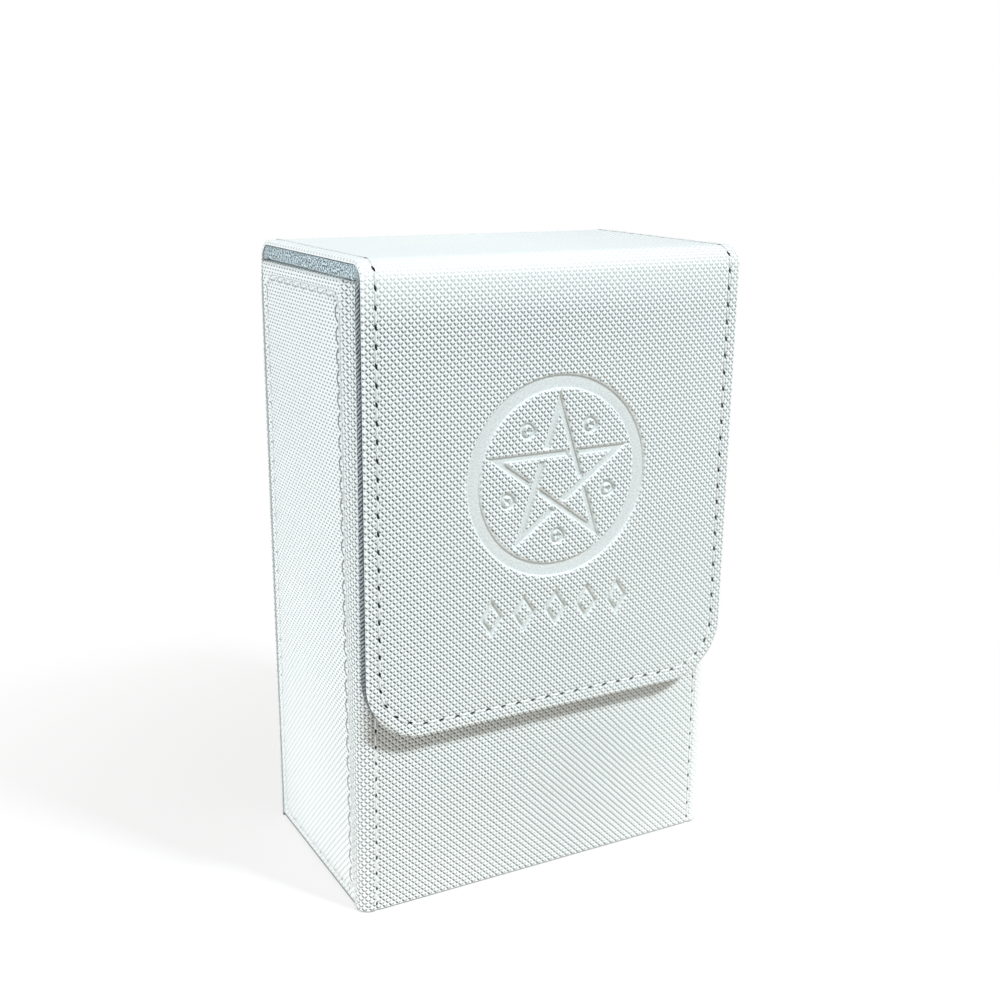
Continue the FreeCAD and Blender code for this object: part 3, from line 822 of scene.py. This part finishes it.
band_end = flap_end - BAND_INSET
rows = np.concatenate([lid_run - np.array([lid_run, 12.0, 7.0]), lid_run - near_fold[::-1],
                       lid_run + bend_rows, flap_start + near_fold, [flap_start + 6.0],
                       np.linspace(flap_start + 8.0, band_end - FLAP_CORNER - 1.0, 36),
                       band_end - FLAP_CORNER + FLAP_CORNER * np.sin(corner_turn)])
below = np.clip(rows - band_end + FLAP_CORNER, 0.0, FLAP_CORNER)
half = cover_half - BAND_INSET - FLAP_CORNER + np.sqrt(FLAP_CORNER ** 2 - below ** 2)
eased_end = roll(band_end - rows, 0.6)
face = crease_depth(rows, lid_run) - eased_end + FLAP_TILT * np.clip(rows - flap_start, 0.0, None)
face = face + FLAP_PAD * np.clip((rows - flap_start - 2.0) / 4.0, 0.0, 1.0)
turned = np.clip((rows - lid_run - 2.0) / bend_length, 0.0, 1.0)
spread = HINGE_STRETCH * np.clip((rows - lid_run) / bend_length, 0.0, 1.0)
flap_band = band_lining("lid_and_flap_lining", FLAP_STRIP, rows, half, skin + 0 * rows, face, spread, turned)
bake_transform(flap_band)
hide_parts("lid_lining", "front_fold_lining", "flap_lining")
flap_end * MM

# Stitching
# Rows of white twisted thread hold the covers' edges, the corner bands and the side panels.
# Each stitch dips at both ends into a slanted needle hole, and pulls a shallow valley into the leather.

COVER_PITCH = 3.6
COVER_SLANT = math.radians(20)
FRONT_SLANT = math.radians(10)
SIDE_BOW = 0.2
THREAD = 0.24
LID_THREAD = 0.1
DIP = 0.32
HOLE_RIM = 0.05
HOLE_TOP = 0.09
HOLE_FLOOR = 0.12
thread_finish, start, sockets = new_finish("white_thread", {
    "Roughness": 0.75, "Specular IOR Level": 0.3, "Sheen Weight": 0.2})
place = start.node("Attribute", {"attribute_name": "grain"}, output="Vector")
along = start.node("SeparateXYZ", sockets={0: place})
ply = (along * 1.6 + along.other("Y")).maths("PINGPONG", 0.5) * 2.0
start.feed(sockets["Base Color"], ply.between((0.62, 0.65, 0.64, 1), (0.84, 0.86, 0.85, 1)))
start.feed(sockets["Normal"], start.node("Bump", sockets={"Height": ply, "Distance": 0.00006}))


def pierced(name, dark, pale):
    """Painted shade inside a needle hole: a dark, mottled finish for the piece that stands in it."""
    finish, start, sockets = new_finish(name, {"Roughness": 0.9, "Specular IOR Level": 0.1})
    place = start.node("TexCoord", output="Object")
    start.feed(sockets["Base Color"], noise(place, 2500.0).between(dark, pale))
    return finish


# The dark pieces in the needle holes are painted shade: near black in the deep holes, dark grey in the
# shallow ones.
hole_finish = pierced("needle_hole", (0.006, 0.01, 0.009, 1), (0.03, 0.035, 0.033, 1))
edge_hole_finish = pierced("shallow_needle_hole", (0.06, 0.07, 0.07, 1), (0.17, 0.19, 0.19, 1))


def sew(name, lines, pitch, hole, hole_look, slant=0.0, bow=0.0, thread=THREAD):
    """Stitches along lines of face points and their outward directions, as one mesh of threads and holes.

    hole is the length and the width of a needle hole, slant its turn from the line, and bow how far
    the thread swings aside between two holes.
    """
    points, faces, looks, twist = [], [], [], []
    sides, steps, rim_points = 7, 9, 12
    ring = np.arange(sides) * 2.0 * math.pi / sides
    rim_turn = np.arange(rim_points) * 2.0 * math.pi / rim_points
    for line, outward in lines:
        length = np.concatenate([[0.0], np.cumsum(np.linalg.norm(np.diff(line, axis=0), axis=1))])
        count = round(length[-1] / pitch)
        real_pitch = length[-1] / count
        tuck = 0.42 * hole[0] / real_pitch

        def at(s, values):
            return np.stack([np.interp(s, length, values[:, i]) for i in range(3)], axis=-1)

        def frame_at(s):
            here, ahead, behind, up = at(s, line), at(s + 0.2, line), at(s - 0.2, line), at(s, outward)
            ahead = (ahead - behind) / np.linalg.norm(ahead - behind, axis=-1, keepdims=True)
            side = np.cross(up, ahead)
            side = side / np.linalg.norm(side, axis=-1, keepdims=True)
            return here, ahead, np.cross(ahead, side), side

        for i in range(count + 1):
            here, ahead, up, side = frame_at(np.array(i * real_pitch))
            first = len(points)
            lengthways = hole[0] / 2 * (math.cos(slant) * ahead + math.sin(slant) * side)
            sideways = hole[1] / 2 * (math.cos(slant) * side - math.sin(slant) * ahead)
            for a in rim_turn:
                points.append(here + up * HOLE_RIM + math.cos(a) * lengthways + math.sin(a) * sideways)
            points.append(here + up * HOLE_TOP)
            points.append(here - up * HOLE_FLOOR)
            twist += [(0.0, 0.0)] * (rim_points + 2)
            for k in range(rim_points):
                after = first + (k + 1) % rim_points
                faces += [(first + k, after, first + rim_points), (after, first + k, first + rim_points + 1)]
                looks += [1, 1]
            if i == count:
                continue
            share = np.linspace(0.0, 1.0, steps) * (1.0 - 2.0 * tuck) + tuck
            here, ahead, up, side = frame_at((i + share) * real_pitch)
            arch = np.clip(np.sin(np.linspace(0.0, math.pi, steps)) * 2.5, 0.0, 1.0)
            height = (DIP + 0.3 * thread) * arch - DIP
            centre = here + up * height[:, None] + side * (bow * np.sin(math.pi * share))[:, None]
            first = len(points)
            for k in range(steps):
                for a in ring:
                    points.append(centre[k] + thread * (math.cos(a) * up[k] + math.sin(a) * side[k]))
                    twist.append((share[k] * real_pitch, a / math.pi))
            for k in range(steps - 1):
                for j in range(sides):
                    beside = (j + 1) % sides
                    faces.append((first + k * sides + j, first + k * sides + beside,
                                  first + (k + 1) * sides + beside, first + (k + 1) * sides + j))
                    looks.append(0)
            faces.append(tuple(range(first + sides - 1, first - 1, -1)))
            faces.append(tuple(range(first + (steps - 1) * sides, first + steps * sides)))
            looks += [0, 0]
    mesh = bpy.data.meshes.new(name)
    mesh.from_pydata(np.array(points) * MM, [], faces)
    mesh.polygons.foreach_set("material_index", looks)
    flat = np.zeros((len(points), 3))
    flat[:, :2] = twist
    mesh.attributes.new("grain", "FLOAT_VECTOR", "POINT").data.foreach_set("vector", flat.ravel())
    mesh.materials.append(thread_finish)
    mesh.materials.append(hole_look)
    mesh.shade_smooth()
    piece = bpy.data.objects.new(name, mesh)
    bpy.context.collection.objects.link(piece)
    return piece


def strip_line(strip, x, s, drop):
    """A row of stitches on a cover strip, with the leather's outward directions."""
    face = on_strip(strip, x, s, drop(x, s))
    outward = on_strip(strip, x, s, drop(x, s) - 1.0) - face
    return face, outward


row_half = cover_half - EDGE_ROW
row_corner = FLAP_CORNER - EDGE_ROW
row_end = flap_end - END_ROW
down = np.linspace(lid_run, row_end - row_corner, 240)
corner = np.linspace(0.0, math.pi / 2, 30)[1:]
half_x = np.concatenate([np.full_like(down, row_half), row_half - row_corner + row_corner * np.cos(corner)])
half_s = np.concatenate([down, row_end - row_corner + row_corner * np.sin(corner)])
bottom = np.linspace(-half_x[-1], half_x[-1], 60)[1:-1]
x = np.concatenate([-half_x, bottom, half_x[::-1]])
s = np.concatenate([half_s, np.full_like(bottom, row_end), half_s[::-1]])
flap_stitches = sew("flap_stitching", [strip_line(FLAP_STRIP, x, s, flap_drop)], COVER_PITCH, (1.25, 0.54),
                    hole_finish, slant=COVER_SLANT)
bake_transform(flap_stitches)

s = np.linspace(0.0, lid_run, 60)
after = np.linspace(back_run + bend_length, back_run + bend_length + lid_run, 60)
lines = [strip_line(FLAP_STRIP, side * row_half + 0 * s, s, flap_drop) for side in (-1.0, 1.0)]
lines += [strip_line(BACK_STRIP, side * row_half + 0 * after, after, back_drop) for side in (-1.0, 1.0)]
lid_stitches = sew("lid_stitching", lines, COVER_PITCH, (0.22, 0.12), edge_hole_finish, slant=COVER_SLANT,
                   thread=LID_THREAD)
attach(lid_stitches, "lid")

s = np.concatenate([np.linspace(1.5, back_run, 200), back_run + bend_rows[1:]])
lines = [strip_line(BACK_STRIP, side * (cover_half_at(s) - EDGE_ROW), s, back_drop) for side in (-1.0, 1.0)]
back_stitches = sew("back_stitching", lines, COVER_PITCH, (1.2, 0.58), hole_finish, slant=COVER_SLANT)
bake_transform(back_stitches)


def front_line(side):
    """The row of stitches beside a front corner."""
    z = np.linspace(1.6, rim - 1.2, 90)
    x = FRONT_ROW * leaning(front_face, z) / body_half
    face = np.stack([side * x, np.full_like(z, front_face + ROW_DEPTH), z], axis=-1)
    return face, np.broadcast_to([0.0, -1.0, 0.0], face.shape)


front_stitches = sew("front_stitching", [front_line(-1), front_line(1)], COVER_PITCH, (0.8, 0.55),
                     hole_finish, slant=FRONT_SLANT)
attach(front_stitches, "box")


def side_line(side):
    """The row of stitches that runs round a side panel."""
    r = SIDE_ROW_CORNER
    upright = np.linspace(SIDE_ROW_BASE + r, SIDE_ROW_TOP - r, 90)
    rising = np.concatenate([upright, SIDE_ROW_TOP - r + r * np.sin(corner)])
    drawn_in = np.concatenate([0 * upright, r - r * np.cos(corner)])
    front = seam(rising) + SIDE_ROW_FRONT + drawn_in
    back = back_inner - SIDE_ROW_BACK - drawn_in
    top_y = np.linspace(front[-1], back[-1], 30)[1:-1]
    base_y = np.linspace(back[0] - r, seam(SIDE_ROW_BASE) + SIDE_ROW_FRONT + r, 30)[1:-1]
    y = np.concatenate([front, top_y, back[::-1], back[0] - r + r * np.cos(corner), base_y,
                        front[0] + r - r * np.sin(corner)])
    z = np.concatenate([rising, np.full_like(top_y, SIDE_ROW_TOP), rising[::-1],
                        upright[0] - r * np.sin(corner), np.full_like(base_y, SIDE_ROW_BASE),
                        upright[0] - r * np.cos(corner)])
    face = np.stack([side_face(side, y, z), y, z], axis=-1)
    return face, np.broadcast_to([float(side), 0.0, 0.0], face.shape)


for side, name in ((-1, "left_stitching"), (1, "right_stitching")):
    side_stitches = sew(name, [side_line(side)], SIDE_PITCH, (0.6, 0.4), edge_hole_finish,
                        bow=-SIDE_BOW * side)
    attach(side_stitches, "box")

# Floor, light and camera
# A white sheet under the box, a soft lamp high on the right, a broad soft wall on the left and one above.
# The camera stands a little above the lid, in front of the left corner.

PAPER = (0.9, 0.905, 0.9, 1)
PAPER_PALE = (0.91, 0.91, 0.91, 1)
FLOOR_NEAR = (0.96, 0.86, 0.77, 1)
FLOOR_FAR = (0.44, 0.395, 0.355, 1)
FLOOR_HALF = 3.0
FLOOR_DROP = 0.1 * MM
floor_mesh = bpy.data.meshes.new("floor")
floor_corners = ((-FLOOR_HALF, -FLOOR_HALF), (FLOOR_HALF, -FLOOR_HALF), (FLOOR_HALF, FLOOR_HALF),
                 (-FLOOR_HALF, FLOOR_HALF))
floor_mesh.from_pydata([(x, y, -FLOOR_DROP) for x, y in floor_corners], [], [(0, 1, 2, 3)])
floor = bpy.data.objects.new("floor", floor_mesh)
bpy.context.collection.objects.link(floor)
paper_finish, start, sockets = new_finish("white_paper", {"Roughness": 0.95, "Specular IOR Level": 0.0})
place = start.node("TexCoord", output="Object")
ray = start.node("LightPath", output="Is Camera Ray")
seen = ray.maths("MAXIMUM", ray.other("Is Glossy Ray"))
away = start.node("VectorMath", {"operation": "LENGTH"}, {0: place}, "Value").rise(0.06, 0.2)
bounce = away.between(FLOOR_NEAR, FLOOR_FAR)
start.feed(sockets["Base Color"], seen.between(bounce, noise(place, 40.0).between(PAPER, PAPER_PALE)))
glow = start.node("Emission", sockets={"Color": (1, 1, 1, 1), "Strength": 1.0})
surface = Tone(start.tree, start.tree.nodes["Principled BSDF"].outputs[0])
both = start.node("MixShader", sockets={0: seen * (away * 0.2 + 0.8), 1: surface, 2: glow})
start.feed(start.tree.nodes["Material Output"].inputs[0], both)
floor_mesh.materials.append(paper_finish)

world = bpy.data.worlds.new("studio")
bpy.context.scene.world = world
world.use_nodes = True
start = Tone(world.node_tree)
ray = start.node("LightPath", output="Is Camera Ray")
seen = ray.maths("MAXIMUM", ray.other("Is Glossy Ray"))
seen = seen.maths("MAXIMUM", ray.other("Is Transmission Ray"))
room = start.node("Background", sockets={"Color": (1.0, 0.82, 0.68, 1), "Strength": 0.172})
white = start.node("Background", sockets={"Color": (1, 1, 1, 1), "Strength": 1.0})
both = start.node("MixShader", sockets={0: seen, 1: room, 2: white})
start.feed(world.node_tree.nodes["World Output"].inputs[0], both)

box_middle = Vector((0.0, 0.0, 0.07))


def soft_lamp(name, place, size, watts, tint):
    """An area lamp that faces the middle of the box."""
    lamp = bpy.data.lights.new(name, "AREA")
    lamp.shape = "RECTANGLE"
    lamp.size, lamp.size_y = size
    lamp.energy = watts
    lamp.color = tint
    stand = bpy.data.objects.new(name, lamp)
    stand.location = place
    stand.rotation_euler = (box_middle - Vector(place)).to_track_quat("-Z", "Y").to_euler()
    bpy.context.collection.objects.link(stand)


soft_lamp("right_lamp", (0.8, -1.35, 1.66), (0.28, 0.28), 60.2, (0.93, 1.0, 1.055))
soft_lamp("left_wall", (-0.75, -0.06, 0.12), (0.5, 0.3), 5.45, (0.955, 1.0, 1.065))
soft_lamp("ceiling", (0.05, 0.0, 0.9), (0.4, 0.4), 1.2, (1.05, 1.0, 0.99))

EYE = Vector((-0.141814, -0.255926, 0.158147))
AZIMUTH, ELEVATION, TILT = -0.51253, 0.26697, 0.01154
right = Vector((math.cos(AZIMUTH), math.sin(AZIMUTH), 0.0))
level = math.cos(ELEVATION)
back = Vector((math.sin(AZIMUTH) * level, -math.cos(AZIMUTH) * level, math.sin(ELEVATION)))
up = back.cross(right)
right, up = right * math.cos(TILT) + up * math.sin(TILT), up * math.cos(TILT) - right * math.sin(TILT)
lens = bpy.data.cameras.new("camera")
lens.lens = 48.951
lens.sensor_width = 36.0
lens.clip_start = 0.01
camera = bpy.data.objects.new("camera", lens)
camera.matrix_world = Matrix.Translation(EYE) @ Matrix((right, up, back)).transposed().to_4x4()
bpy.context.collection.objects.link(camera)
bpy.context.scene.camera = camera
bpy.context.scene.view_settings.view_transform = "Standard"
